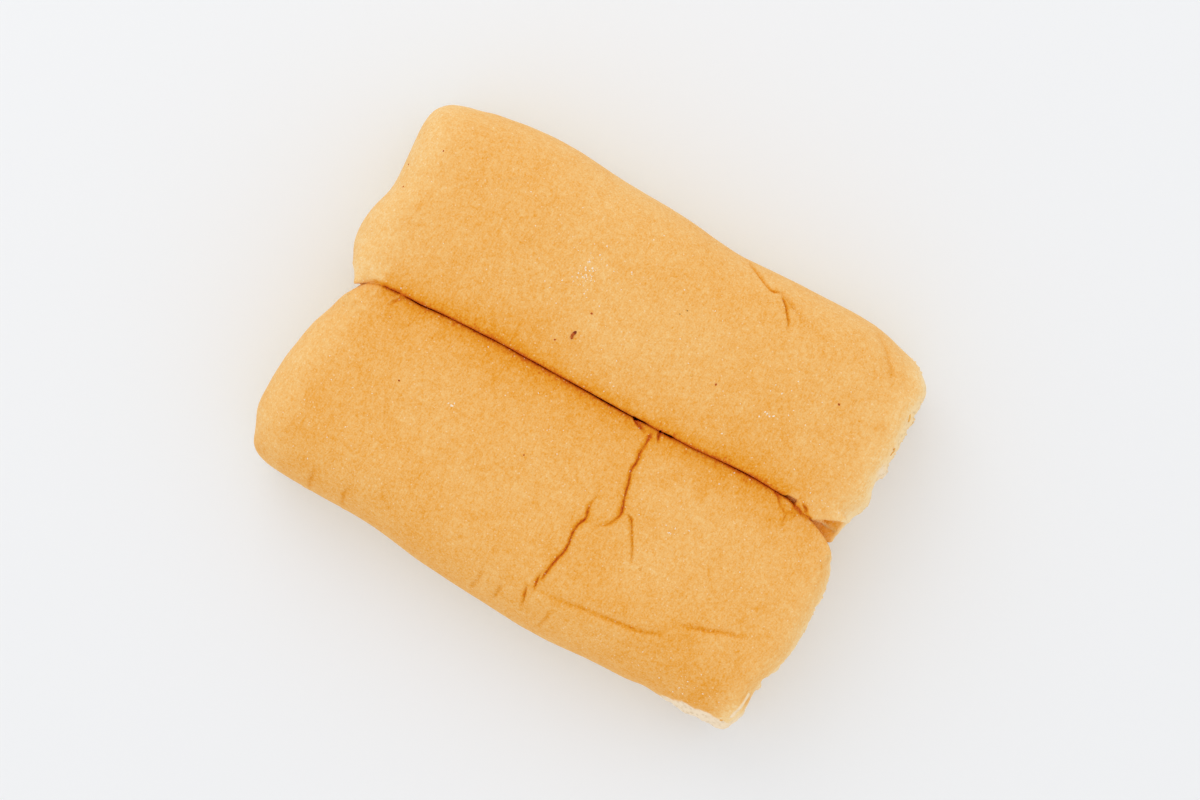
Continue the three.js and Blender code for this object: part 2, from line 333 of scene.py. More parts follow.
def from_line(plan, line):
    """Distance of each plan point from a line, positive on its left, and its share along the line."""
    best = np.full(len(plan), np.inf)
    signed = np.zeros(len(plan))
    where = np.zeros(len(plan))
    for step, (a, b) in enumerate(zip(line[:-1], line[1:])):
        run = b - a
        t = np.clip((plan - a) @ run / (run @ run), 0, 1)
        off = plan - (a + t[:, None] * run)
        distance = np.hypot(off[:, 0], off[:, 1])
        nearer = distance < best
        best[nearer] = distance[nearer]
        left = np.sign(run[0] * off[:, 1] - run[1] * off[:, 0])
        signed[nearer] = (distance * left)[nearer]
        where[nearer] = ((step + t) / (len(line) - 1))[nearer]
    return signed, where


LINES = {name: line_points(path) for name, (_, _, _, path) in CREASES.items()}


def crease_marks(plan, name):
    """How far a crease moves the crust inwards at each plan point, and how much deeper its colour is, partly
    bake and partly painted shade.
    """
    kind, ramp, opening, _ = CREASES[name]
    signed, where = from_line(plan, LINES[name])
    d = -ramp * signed
    opened = curve_through(opening, where)
    slope = np.clip(1 + d / kind.slope, 0, 1) ** SLOPE_CURVE
    wall = np.clip(1 - d / kind.wall, 0, 1)
    core = np.clip(1 - np.abs(d) / kind.core, 0, 1)
    lip = np.exp(-(((d - kind.wall - kind.lip_width) / kind.lip_width) ** 2))
    push = kind.slope_depth * np.where(d < 0, slope, wall) + kind.core_depth * core - kind.lip * lip
    halo = kind.halo * np.where(d > 0, WALL_HALO, 1)
    baked = kind.baked * np.clip(1 - np.abs(d) / halo, 0, 1) ** kind.fade
    return opened * push, opened * baked


# ===== Modelling helpers =====

BOX_MARGIN = 0.02


def only(piece):
    """Deselects all and makes one piece the selected and active one."""
    bpy.ops.object.select_all(action="DESELECT")
    piece.select_set(True)
    bpy.context.view_layer.objects.active = piece


def edit(piece, *, vertices=None, edges=None, faces=None):
    """Opens a piece in edit mode with just the masked vertices, edges or faces selected."""
    only(piece)
    masks = {"vertices": vertices, "edges": edges, "polygons": faces}
    for kind, mask in masks.items():
        elements = getattr(piece.data, kind)
        chosen = np.zeros(len(elements), dtype=bool) if mask is None else mask
        elements.foreach_set("select", chosen)
    bpy.context.tool_settings.mesh_select_mode = (vertices is not None, edges is not None, faces is not None)
    bpy.ops.object.mode_set(mode="EDIT")


def leave_edit():
    bpy.ops.object.mode_set(mode="OBJECT")


def primitive(name, add, **settings):
    """A new piece from one of the basic meshes."""
    bpy.ops.object.select_all(action="DESELECT")
    add(**settings)
    piece = bpy.context.object
    piece.name = name
    return piece


def read(elements, key, width, kind=float):
    """One value list of all of a mesh's elements, a row for each."""
    flat = np.empty(len(elements) * width, dtype=kind)
    elements.foreach_get(key, flat)
    return flat.reshape(-1, width)


def positions(piece):
    """A piece's vertices in millimetres."""
    return read(piece.data.vertices, "co", 3) / MM


def place(piece, points):
    """Writes a piece's vertices, given in millimetres."""
    piece.data.vertices.foreach_set("co", (points * MM).ravel())
    piece.data.update()


def in_box(points):
    """Points kept just inside the solid's box."""
    return np.clip(points, np.array(cad_low) / MM + BOX_MARGIN, np.array(cad_high) / MM - BOX_MARGIN)


def paint(piece, name, values):
    """Stores a value for each vertex, which the materials read by name."""
    layer = piece.data.attributes.new(name, "FLOAT", "POINT")
    layer.data.foreach_set("value", values.astype(np.float32))


# ===== The joined rolls =====

SKIN_STEP = 1.8
# How many times the skin's squares are halved where its detail is finest, and where it is broad.
FINE_LEVELS = 3
BROAD_LEVELS = 2
# How far each halving reaches: from a crease, from the seam and down it, and from the torn end's rim.
LINE_REACH = (3.2, 1.5, 0.7)
SEAM_TOP_REACH = (4, 1.6, 0.7)
SEAM_WALL_REACH = (9, 4, 1.2)
END_REACH = (4.5, 1.8)
END_RIM = 14
# The torn side: from this x on, and below this y.
TORN_SIDE = (46, -54)
# Areas seen from above that are divided finest, down to a depth below the top of the block.
FINE_PLACES = [
    ((10, 21.5), (0.5, 7), 4), ((55, 76), (-1, 9), 9), ((-69, -57), (-2.5, 5), 4),
    ((71.5, 78), (-59, -41), 9),
]
# Creases are pressed into the skin above this height.
CREASED_ABOVE = WIDEST_AT + 4
# Valleys of the fused crust that are smoothed: x and y from and to, lowest z, and how many times.
FUSED_VALLEYS = [
    ((-81, -65.4), (-4, 5), 20, 12), ((-81, -66.2), (-3.4, 3.4), 5, 16), ((-81, -67), (-2.6, 3), 3, 30),
    ((60.7, 64), (2.5, 6.5), 28, 6),
]
LEFT_END_VALLEY = ((-72.5, -68.8), (-1.6, 2), 3, 14)


def block(name, roll):
    """A roll's block, divided into even squares."""
    size = Vector((BLOCK_LENGTH, BLOCK_WIDTH, roll["height"]))
    middle = Vector((size.x, roll["side"] * size.y, size.z)) / 2
    piece = primitive(name, bpy.ops.mesh.primitive_cube_add, size=1, location=middle * MM, scale=size * MM)
    bpy.ops.object.transform_apply(location=True, rotation=False, scale=True)
    for axis in range(3):
        ends = read(piece.data.edges, "vertices", 2, int)
        points = positions(piece)
        run = np.abs(points[ends[:, 1]] - points[ends[:, 0]])
        edit(piece, edges=run[:, axis] > 0.5 * size[axis])
        bpy.ops.mesh.subdivide(number_cuts=round(size[axis] / SKIN_STEP) - 1)
        leave_edit()
    return piece


def wanted_fineness(points, block_points, roll):
    """How many times the skin at each point is to be divided again."""
    level = np.zeros(len(points), dtype=int)

    def want(mask, value):
        level[mask] = np.maximum(level[mask], value)

    plan = points[:, :2]
    crown = points[:, 2] > CREASED_ABOVE
    for name, line in LINES.items():
        close = np.flatnonzero(crown & beside_line(plan, line, LINE_REACH[0]))
        distance = np.abs(from_line(plan[close], line)[0])
        levels = FINE_LEVELS if CREASES[name][0] in (SHARP, FAINT, NOTCH) else BROAD_LEVELS
        for step, reach in enumerate(LINE_REACH[:levels]):
            want(close[distance < reach], step + 1)
    from_seam = block_points[:, 1]
    from_top = roll["height"] - block_points[:, 2]
    from_torn_end = BLOCK_LENGTH - block_points[:, 0]
    from_rim = np.minimum(from_top, np.minimum(from_seam, BLOCK_WIDTH - from_seam))
    for step, reach in enumerate(SEAM_TOP_REACH):
        want((from_seam < reach) & (from_top < SEAM_WALL_REACH[step]), step + 1)
    want(from_torn_end < END_REACH[0], 1)
    want((from_torn_end < END_REACH[1]) & (from_rim < END_RIM), 2)
    want((plan[:, 0] > TORN_SIDE[0]) & (plan[:, 1] < TORN_SIDE[1]), 2)
    for x_limits, y_limits, depth in FINE_PLACES:
        inside = between(plan[:, 0], x_limits) & between(plan[:, 1], y_limits)
        want(inside & (from_top < depth), FINE_LEVELS)
    return level


def block_side(points, roll):
    """Turns y round on the front roll, so that it counts from the seam outwards, or back again."""
    return points * np.array([1, roll["side"], 1])


def shaped_roll(name, roll):
    """One roll: a divided block, divided again where the skin has detail, and rounded to a loaf."""
    piece = block(name, roll)
    for step in range(1, FINE_LEVELS + 1):
        block_points = block_side(read(piece.data.polygons, "center", 3) / MM, roll)
        level = wanted_fineness(loaf(block_points, roll), block_points, roll)
        edit(piece, faces=level >= step)
        bpy.ops.mesh.subdivide(number_cuts=1)
        leave_edit()
    place(piece, loaf(block_side(positions(piece), roll), roll))
    return piece


def joined(back, front):
    """The two rolls as one skin, where their flanks have baked together."""
    only(back)
    union = back.modifiers.new("baked_together", "BOOLEAN")
    union.operation = "UNION"
    union.solver = "MANIFOLD"
    union.object = front
    bpy.ops.object.modifier_apply(modifier=union.name)
    bpy.data.objects.remove(front)
    return back


def soften_valley(piece, x_limits, y_limits, z_low, times):
    """Smooths a valley where the two crusts have grown together."""
    x, y, z = positions(piece).T
    edit(piece, vertices=between(x, x_limits) & between(y, y_limits) & (z > z_low))
    bpy.ops.mesh.vertices_smooth(factor=0.5, repeat=times)
    leave_edit()


rolls = joined(shaped_roll("bread_rolls", BACK_ROLL), shaped_roll("front_roll", FRONT_ROLL))
for valley in FUSED_VALLEYS:
    soften_valley(rolls, *valley)


# ===== Sculpting the crust and the torn crumb =====

# Gentle swells of the crust, as (height, length) pairs, and the heights over which they set in.
SWELLS = ((0.3, 15), (0.08, 5))
SWELLS_FROM = (1, 8)
# How far around a crease the skin is moved.
CREASE_MARGIN = 6
# By y, how far the crust ends short of the torn end.
CRUST_SHORT_OF_END = [
    (-60, 3.4), (-55, 2.8), (-53, 2), (-51, 0.6), (-43, 0.3), (-41, 0.8), (-38, 0.9), (-20, 0.7), (0, 0.4),
    (10, 0.4), (18, 0.9), (23, 2), (36, 2.5), (42, 2), (48, 1.5), (55, 1.8),
]
# By x, the y where the front roll's crust ends above its torn outer side.
TORN_SIDE_EDGE = [(50, -60.5), (53, -58.6), (56, -57.6), (60, -56.4), (64, -56), (70, -55.6), (78, -55.6)]
# Cream crumb that shows where the crust has lifted off along the front roll's torn end.
CRUMB_STREAK = [(74.2, -45.8), (74, -48.3), (73.7, -51.2), (73.2, -53.5)]
STREAK_EDGE = (-0.55, -0.25)
TORN_LUMPS = ((0.5, 3.2), (0.32, 1.5))
# Hollows torn into the crumb below the rim: their depth and size, and the heights they fade over.
HOLLOWS = {"depth": 1.3, "size": 3, "edge": (0, 0.45), "fade": (15, 21)}
# Below these heights the torn side's edge wanders, as (size, length) pairs, and starts this much later.
SIDE_EDGE_FADE = (11, 18)
SIDE_EDGE_WANDER = ((6, 9),)
SIDE_EDGE_RETREAT = 3
# The torn side starts at the first x, and is this much narrower there, up to the second x.
TORN_SIDE_START = (50, 56)
TORN_SIDE_NARROWING = 2
# How ragged the crust's edge is, as (size, length) pairs, and its share at the side and the base.
RAGGED = ((0.5, 4), (0.35, 1.3))
RAGGED_SIDE = 0.6
RAGGED_BASE = 1.5
# Where past the crust's edges the crumb sets in, and at what height above the base.
END_EDGE = (-1.2, 0.6)
SIDE_EDGE = (-0.1, 0.35)
BASE_EDGE = (1.2, 2.2)
# Where the outline is broken in or stands out: x, y, radius, and how far it moves along x and y.
RIM_SHIFTS = [
    (77.4, -40.9, 1.2, -1.6, 0), (78.3, -38.8, 1, -0.9, 0), (77, -43.1, 0.8, 0.4, 0),
    (79.8, -17.2, 1.3, -0.4, 0), (79.8, -11, 1.3, 0.3, 0), (78, 23.7, 1.4, 1.2, 0),
    (78, 39.3, 1.4, 0.8, 0), (78.4, 45.5, 1.5, -0.5, 0), (78.3, 33, 1.1, -0.5, 0), (78, 18, 1.6, -0.6, 0),
    (78, 27, 1, -0.3, 0), (-76.7, 5.4, 2, 0.8, 0), (-71.3, -0.3, 1.3, -0.2, -0.6),
    (-70.4, 0.2, 1, -1.1, -0.8), (-65.2, 57.6, 2.6, 0, -0.3), (-72.6, 55, 2, -0.5, 0),
    (61.5, -58.8, 3.2, 0, -0.6), (49, -59, 3.5, 0, 0.4),
]


def torn_side(x, y, z, wander, ragged):
    """1 on the front roll's torn outer side."""
    edge_x = x + (1 - smooth_step(z, *SIDE_EDGE_FADE)) * (wander - SIDE_EDGE_RETREAT)
    start, full = TORN_SIDE_START
    past_side = table(TORN_SIDE_EDGE, edge_x) - y + RAGGED_SIDE * ragged
    past_side -= TORN_SIDE_NARROWING * smooth_step(-edge_x, -full, -start)
    return np.where(edge_x < start, 0, smooth_step(past_side, *SIDE_EDGE))


def torn_mask(points):
    """1 on torn crumb, 0 on crust."""
    x, y, z = points.T
    _, across, is_back = shares(points)
    right = roll_edge("right", across, is_back)
    ragged = sum(noise_layers(points, RAGGED, SEEDS["ragged"]))
    end = smooth_step(x - (right - table(CRUST_SHORT_OF_END, y)) + ragged, *END_EDGE)
    wander = sum(noise_layers(points, SIDE_EDGE_WANDER, SEEDS["side_edge"]))
    side = np.where(is_back, 0, torn_side(x, y, z, wander, ragged))
    streak = from_line(points[:, :2], np.array(CRUMB_STREAK, dtype=float))[0]
    streak = smooth_step(-np.abs(streak), *STREAK_EDGE) * (z > WIDEST_AT)
    above_base = smooth_step(z + RAGGED_BASE * ragged, *BASE_EDGE)
    return np.maximum(np.maximum(end, side), streak) * above_base


def press_creases(points, lift):
    """Takes the creases off each point's lift, and gives how much deeper their colour is, bake and painted
    shade together.
    """
    baked = np.zeros(len(points))
    crown = np.flatnonzero(points[:, 2] > CREASED_ABOVE)
    plan = points[crown, :2]
    for name, line in LINES.items():
        chosen = crown[beside_line(plan, line, CREASE_MARGIN)]
        push, deep = crease_marks(points[chosen, :2], name)
        lift[chosen] -= push
        baked[chosen] = np.where(np.abs(deep) > np.abs(baked[chosen]), deep, baked[chosen])
    return baked


def sculpt(piece):
    """Moves the skin to its creases, swells and torn crumb, and gives the creases' deeper colour with their
    painted shade, and how torn it is.
    """
    points = positions(piece)
    normal = read(piece.data.vertex_normals, "vector", 3)
    lift = sum(noise_layers(points, SWELLS, SEEDS["swells"])) * smooth_step(points[:, 2], *SWELLS_FROM)
    baked = press_creases(points, lift)
    for x, y, radius, height in LUMPS:
        lift += height * bump(points, x, y, radius) * (points[:, 2] > WIDEST_AT)

    torn = torn_mask(points)
    relief = sum(noise_layers(points, TORN_LUMPS, SEEDS["torn_lumps"]))
    hollow = smooth_step(noise_at(points, HOLLOWS["size"], SEEDS["hollows"]), *HOLLOWS["edge"])
    hollow *= 1 - smooth_step(points[:, 2], *HOLLOWS["fade"])
    lift += torn * (relief - HOLLOWS["depth"] * hollow)
    points += lift[:, None] * normal
    for x, y, radius, along_x, along_y in RIM_SHIFTS:
        near = bump(points, x, y, radius)
        points[:, 0] += along_x * near
        points[:, 1] += along_y * near
    place(piece, in_box(points))
    return baked, torn


crease_bake_and_shade, torn = sculpt(rolls)
soften_valley(rolls, *LEFT_END_VALLEY)


# ===== How baked the skin is, plus painted shade in the seam, creases and gap: 0 cream, 0.5 gold, 1 deep orange-brown =====

EVEN_BAKE = 0.5
# By the distance from the seam: partly the crust's deeper colour beside the joint, partly painted shade and
# bounce light down into the seam. By x, it sets in where the seam starts, and most ends where it closes.
SEAM_SHADE_AND_BAKE = [
    (0, 1), (0.25, 0.91), (0.5, 0.83), (1, 0.765), (1.5, 0.725), (2, 0.695), (3, 0.65), (5, 0.59),
    (8, 0.55), (14, 0.5),
]
SEAM_STARTS = (-66, -63.5)
SEAM_CLOSES = (60.5, 64)
SEAM_CLOSING = 0.7
# By the height above the table.
FLANK_BAKE = [(0, 0.7), (1.5, 0.42), (4, 0.06), (9, 0.06), (15, 0.3), (20, 0.44), (26, 0.5)]
LEFT_END_PALING = 0.14
LEFT_END_FADE = (-17, -3)
BACK_EDGE_PALING = 0.06
BACK_EDGE_FADE = (0.82, 0.97)
FRONT_ROLL_DEEPER = 0.02
# By the distance from the torn end, and the share of it that the front roll has.
TORN_END_PALING = [(0, 0.44), (1, 0.4), (2, 0.33), (3.5, 0.21), (6, 0.12), (10, 0.03), (14, 0)]
FRONT_END_SHARE = 0.6
# By x, inside the open gap: partly the crust's deeper colour, partly painted shade and bounce light in the
# crevice. It sets in past these distances from its walls, this x and this height.
GAP_SHADE_AND_BAKE = [(65, 0.56), (68.8, 0.56), (70, 0.64), (72.5, 0.69), (73.5, 0.62), (75, 0.46)]
GAP_EDGES = {"front wall": (-0.25, 0.2), "back wall": (-0.2, 0.3), "x": (64.5, 67), "z": (10, 18)}
# Patches: x, y, radius and how much deeper (or paler) the crust is baked there. The one in the seam's hole
# at (58.9, 5.2) takes some of the seam's painted shade back out.
BAKE_PATCHES = [
    (50, -41, 7, 0.06), (62, -50, 8, 0.06), (57, 47, 9, 0.035), (71, 33, 2.4, 0.11), (58, 37, 1.6, 0.1),
    (-74, -52, 2.5, 0.12), (-35, 52, 12, -0.03), (73.5, -54, 4, -0.24), (38, 14, 14, 0.03),
    (-50, 25, 20, 0.02), (30, -12, 14, -0.02), (-73.8, 1.8, 2.2, -0.22), (-66, -0.5, 3, 0.07),
    (19.9, -19.2, 0.9, 0.22), (17.3, 1.7, 0.7, 0.12), (58.9, 5.2, 1.7, -0.28), (75.4, -47.6, 2.2, 0.2),
]
# Unevenness, as (amount, length) pairs.
BAKE_CLOUDS = ((0.045, 20), (0.03, 6))
# How golden the torn crumb is: on the front roll from this y on and at its corner, on the back roll
# but for a pale strip high up, and unevenly below.
FRONT_CRUMB = {"gold": 0.9, "y": (-52, -38), "corner": 0.4, "corner x": (71, 76)}
BACK_CRUMB = {"gold": 0.85, "paling": 0.7, "strip y": 23.5, "strip width": 1.7, "z": (14, 22)}
LOW_CRUMB = {"gold": 0.45, "uneven": 0.5, "length": 9, "z": (8, 18)}
BACK_CRUMB_FROM_Y = 4


def in_gap(x, z, past_seam):
    """1 on the walls and the floor of the open gap at the torn end."""
    walls = smooth_step(past_seam, *GAP_EDGES["front wall"])
    walls *= smooth_step(table(SLIT_WIDTH, x) - past_seam, *GAP_EDGES["back wall"])
    return walls * (smooth_step(x, *GAP_EDGES["x"]) * smooth_step(z, *GAP_EDGES["z"]))


# How baked the crust is, plus painted shade and bounce light beside the seam and in the gap.
def bake(points, along, across, is_back):
    x, y, z = points.T
    left, right = (roll_edge(key, across, is_back) for key in ("left", "right"))
    past_seam = y - curve_through(SEAM_LINE, along)
    open_seam = smooth_step(x, *SEAM_STARTS) * (1 - SEAM_CLOSING * smooth_step(x, *SEAM_CLOSES))
    level = EVEN_BAKE + (table(SEAM_SHADE_AND_BAKE, np.abs(past_seam)) - EVEN_BAKE) * open_seam
    level -= LEFT_END_PALING * smooth_step(left - x, *LEFT_END_FADE)
    level -= table(TORN_END_PALING, right - x) * np.where(is_back, 1, FRONT_END_SHARE)
    level -= np.where(is_back, BACK_EDGE_PALING * smooth_step(across, *BACK_EDGE_FADE), 0)
    level += np.where(is_back, -FRONT_ROLL_DEEPER, FRONT_ROLL_DEEPER)
    for patch_x, patch_y, radius, amount in BAKE_PATCHES:
        level += amount * bump(points, patch_x, patch_y, radius)
    level += table(FLANK_BAKE, z) - EVEN_BAKE
    level = mix(level, table(GAP_SHADE_AND_BAKE, x), in_gap(x, z, past_seam))
    return sum(noise_layers(points, BAKE_CLOUDS, SEEDS["bake"]), level)


def crumb_gold(points):
    """How golden torn crumb is at each point, from pale cream at 0 to gold at 1."""
    x, y, z = points.T
    front = FRONT_CRUMB["gold"] * smooth_step(y, *FRONT_CRUMB["y"])
    front += FRONT_CRUMB["corner"] * smooth_step(x, *FRONT_CRUMB["corner x"]) * (1 - front)
    strip = np.exp(-(((y - BACK_CRUMB["strip y"]) / BACK_CRUMB["strip width"]) ** 2))
    back = BACK_CRUMB["gold"] - BACK_CRUMB["paling"] * strip * smooth_step(z, *BACK_CRUMB["z"])
    uneven = noise_at(points, LOW_CRUMB["length"], SEEDS["low_crumb"])
    low = LOW_CRUMB["gold"] + LOW_CRUMB["uneven"] * uneven
    high = np.where(y > BACK_CRUMB_FROM_Y, back, front)
    return np.clip(mix(low, high, smooth_step(z, *LOW_CRUMB["z"])), 0, 1)


rolls_points = positions(rolls)
# The creases' deeper colour and painted shade go into the bake value too.
paint(rolls, "bake", np.clip(bake(rolls_points, *shares(rolls_points)) + crease_bake_and_shade, 0, 1))
paint(rolls, "torn", torn)
paint(rolls, "crumb_gold", crumb_gold(rolls_points))
only(rolls)
bpy.ops.object.shade_smooth()
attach(rolls, "root")
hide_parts("joined_rolls")


# ===== Materials =====

class Nodes:
    """Adds nodes to a material or group, and links them."""

    def __init__(self, tree):
        self.tree = tree

    def put(self, target, value):
        if isinstance(value, bpy.types.NodeSocket):
            self.tree.links.new(value, target)
        else:
            target.default_value = value

    def fill(self, node, **inputs):
        for key, value in inputs.items():
            self.put(node.inputs[key.replace("_", " ")], value)

    def add(self, kind, settings=None, **inputs):
        node = self.tree.nodes.new("ShaderNode" + kind)
        for key, value in (settings or {}).items():
            setattr(node, key, value)
        self.fill(node, **inputs)
        return node

    def math(self, operation, *values):
        node = self.tree.nodes.new("ShaderNodeMath")
        node.operation = operation
        for socket, value in zip(node.inputs, values):
            self.put(socket, value)
        return node.outputs[0]

    def step(self, value, low, high, to_low=0.0, to_high=1.0):
        """Smooth step between two limits."""
        node = self.add("MapRange", {"interpolation_type": "SMOOTHSTEP"}, Value=value)
        for key, limit in {"From Min": low, "From Max": high, "To Min": to_low, "To Max": to_high}.items():
            self.put(node.inputs[key], limit)
        return node.outputs[0]

    def mix(self, share, a, b, blend="MIX"):
        node = self.add("Mix", {"data_type": "RGBA", "blend_type": blend})
        self.put(node.inputs[0], share)
        self.put(node.inputs[6], a)
        self.put(node.inputs[7], b)
        return node.outputs[2]

    def sum_of(self, *parts):
        """The sum of (value, weight) pairs."""
        (value, weight), *others = parts
        total = self.math("MULTIPLY", value, weight)
        for value, weight in others:
            total = self.math("MULTIPLY_ADD", value, weight, total)
        return total

    def swing(self, value, amount, middle=0.0):
        """A value from 0 to 1 turned into a swing about a middle."""
        return self.math("MULTIPLY_ADD", value, amount, middle - amount / 2)

    def noise(self, place, length, detail=2.0, roughness=0.5):
        """Noise from 0 to 1 with lumps about the given length in millimetres."""
        scale = 1 / (length * MM)
        return self.add("TexNoise", Vector=place, Scale=scale, Detail=detail, Roughness=roughness).outputs[0]

    def cells(self, place, length):
        """Distance to the nearest cell's middle, and the cell's own random colour."""
        return self.add("TexVoronoi", Vector=place, Scale=1 / (length * MM), Randomness=1.0).outputs[:2]

    def red(self, colour):
        return self.add("SeparateColor", Color=colour).outputs[0]

    def bump(self, height, shader):
        """Height in millimetres as relief on a shader."""
        self.fill(shader, Normal=self.add("Bump", Height=height, Distance=MM, Strength=1.0).outputs[0])

    def ramp(self, value, stops):
        node = self.add("ValToRGB", Fac=value)
        elements = node.color_ramp.elements
        while len(elements) < len(stops):
            elements.new(1)
        for element, (position, colour) in zip(elements, stops):
            element.position = position
            element.color = (*colour, 1)
        return node.outputs[0]

    def attribute(self, name):
        return self.add("Attribute", {"attribute_name": name}).outputs["Fac"]

    def place(self):
        return self.add("TexCoord").outputs["Object"]


def new_material(name):
    material = bpy.data.materials.new(name)
    material.use_nodes = True
    nodes = Nodes(material.node_tree)
    return material, nodes, material.node_tree.nodes["Principled BSDF"]


FIBRE_TURN = (0, 0, 0.6)
FIBRE_STRETCH = (1, 0.4, 1)
# Brings the middle of the mottle to a half.
MOTTLE_SHIFT = -0.175


def fine_grain_group():
    """Matte, finely wrinkled and pitted skin: a mottle, a shade and a height in millimetres."""
    tree = bpy.data.node_groups.new("fine_grain", "ShaderNodeTree")
    sides = {"Pit Depth": "INPUT", "Mottle": "OUTPUT", "Shade": "OUTPUT", "Height": "OUTPUT"}
    for name, side in sides.items():
        tree.interface.new_socket(name=name, in_out=side, socket_type="NodeSocketFloat")
    nodes = Nodes(tree)
    given = tree.nodes.new("NodeGroupInput")
    out = tree.nodes.new("NodeGroupOutput")
    place = nodes.place()
    stretched = nodes.add("Mapping", Vector=place, Rotation=FIBRE_TURN, Scale=FIBRE_STRETCH).outputs[0]
    fine = nodes.noise(place, length=0.5, detail=3, roughness=0.65)
    fibres = nodes.noise(stretched, length=0.55, detail=2, roughness=0.6)
    middle = nodes.noise(place, length=1.5)
    broad = nodes.noise(place, length=5)
    shade = nodes.noise(place, length=0.36, detail=3, roughness=0.7)
    pits, _ = nodes.cells(place, length=0.9)
    mottle = nodes.sum_of((fibres, 0.4), (fine, 0.55), (middle, 0.25), (broad, 0.15))
    pitted = nodes.sum_of((fine, 1), (nodes.step(pits, 0.1, 0.6), 0.5), (fibres, 0.8))
    height = nodes.math("MULTIPLY", pitted, given.outputs["Pit Depth"])
    mottle = nodes.math("ADD", mottle, MOTTLE_SHIFT)
    nodes.fill(out, Mottle=mottle, Shade=nodes.sum_of((shade, 0.6), (fibres, 0.4)), Height=height)
    return tree


FINE_GRAIN = fine_grain_group()
# The crust's colour by its bake value. The deepest stops are reached in the seam and the crease cores, where
# they carry painted shade as well as bake.
BAKE_COLOURS = [
    (0.0, (0.95, 0.76, 0.45)), (0.2, (0.93, 0.645, 0.3)), (0.36, (0.89, 0.53, 0.185)),
    (0.5, (0.855, 0.445, 0.118)), (0.62, (0.82, 0.37, 0.058)), (0.74, (0.78, 0.3, 0.008)),
    (0.86, (0.7, 0.2, 0.001)), (1.0, (0.57, 0.092, 0.0005)),
]
CRUMB_PALE = (0.92, 0.75, 0.54, 1)
CRUMB_GOLD = (0.95, 0.69, 0.35, 1)
CRUMB_SHADE = (0.92, 0.85, 0.74, 1)
WHITE = (1, 1, 1, 1)
FLOUR = (0.95, 0.72, 0.45, 1)
# Dots in the crust's colour: their spacing, the share of the places that has one, radius and strength.
TOASTED_DOTS = (4.2, 0.4, 0.4, 0.14)
LARGE_FLOUR_DOTS = (1.7, 0.6, 0.3, 0.5)
SMALL_FLOUR_DOTS = (0.9, 0.6, 0.2, 0.28)
DOT_CORE = 0.35
CRUST_ROUGHNESS = 0.78
CRUMB_ROUGHNESS = 0.95
CRUST_SHINE = 0.25
PORE_DEPTH = 0.22


def grain(nodes, pit_depth):
    node = nodes.tree.nodes.new("ShaderNodeGroup")
    node.node_tree = FINE_GRAIN
    node.inputs["Pit Depth"].default_value = pit_depth
    return node.outputs["Mottle"], node.outputs["Shade"], node.outputs["Height"]


def dots(nodes, place, spacing, share, radius, strength):
    """Round dots, 0 between them and up to their strength inside."""
    away, colour = nodes.cells(place, spacing)
    chosen = nodes.math("LESS_THAN", nodes.red(colour), share)
    dot = nodes.step(away, radius / spacing, DOT_CORE * radius / spacing)
    return nodes.math("MULTIPLY", nodes.math("MULTIPLY", dot, chosen), strength)


def crust_colour(nodes, place, mottle, shade):
    wobble = nodes.math("ADD", nodes.swing(mottle, 1.0), dots(nodes, place, *TOASTED_DOTS))
    crust = nodes.ramp(nodes.math("ADD", nodes.attribute("bake"), wobble), BAKE_COLOURS)
    light = nodes.swing(shade, 0.2, middle=1.0)
    even = nodes.add("CombineColor", Red=light, Green=light, Blue=light).outputs[0]
    crust = nodes.mix(1.0, crust, even, "MULTIPLY")
    large = dots(nodes, place, *LARGE_FLOUR_DOTS)
    small = dots(nodes, place, *SMALL_FLOUR_DOTS)
    return nodes.mix(nodes.math("MAXIMUM", large, small), crust, FLOUR)


def crumb_pores(nodes, place):
    """Torn crumb's pores of two sizes: 0 in a pore, 1 on the crumb around it."""
    pore, _ = nodes.cells(place, length=1.1)
    big_pore, _ = nodes.cells(place, length=2.6)
    pored = nodes.math("MULTIPLY", nodes.step(pore, 0.05, 0.5), nodes.step(big_pore, 0.05, 0.35))
    dense = nodes.step(nodes.noise(place, length=2.4, detail=4, roughness=0.65), 0.4, 0.62)
    return nodes.math("MAXIMUM", pored, dense)


def crust_material():
    """Baked crust and torn crumb, mixed by the piece's own bake (which also carries painted shade), torn and
    crumb_gold values.
    """
    material, nodes, shader = new_material("golden_crust")
    place = nodes.place()
    mottle, shade, height = grain(nodes, 0.08)
    crust = crust_colour(nodes, place, mottle, shade)
    pores = crumb_pores(nodes, place)
    crumb = nodes.mix(nodes.attribute("crumb_gold"), CRUMB_PALE, CRUMB_GOLD)
    crumb = nodes.mix(1.0, crumb, nodes.mix(pores, CRUMB_SHADE, WHITE), "MULTIPLY")
    torn = nodes.attribute("torn")
    roughness = nodes.step(torn, 0, 1, CRUST_ROUGHNESS, CRUMB_ROUGHNESS)
    colour = nodes.mix(torn, crust, crumb)
    nodes.fill(shader, Base_Color=colour, Roughness=roughness, Specular_IOR_Level=CRUST_SHINE)
    relief = nodes.math("MULTIPLY", pores, PORE_DEPTH)
    nodes.bump(nodes.math("MULTIPLY_ADD", nodes.math("SUBTRACT", relief, height), torn, height), shader)
    return material


def toasted_material(name, dark, light, roughness, shine):
    """Bran and toasted bits: two tones mixed by the piece's own toast values and the fine grain."""
    material, nodes, shader = new_material(name)
    mottle, _, height = grain(nodes, 0.05)
    tone = nodes.math("ADD", nodes.attribute("toast"), nodes.swing(mottle, 1.2))
    colour = nodes.ramp(tone, [(0.1, light), (0.9, dark)])
    nodes.fill(shader, Base_Color=colour, Roughness=roughness, Specular_IOR_Level=shine)
    nodes.bump(height, shader)
    return material


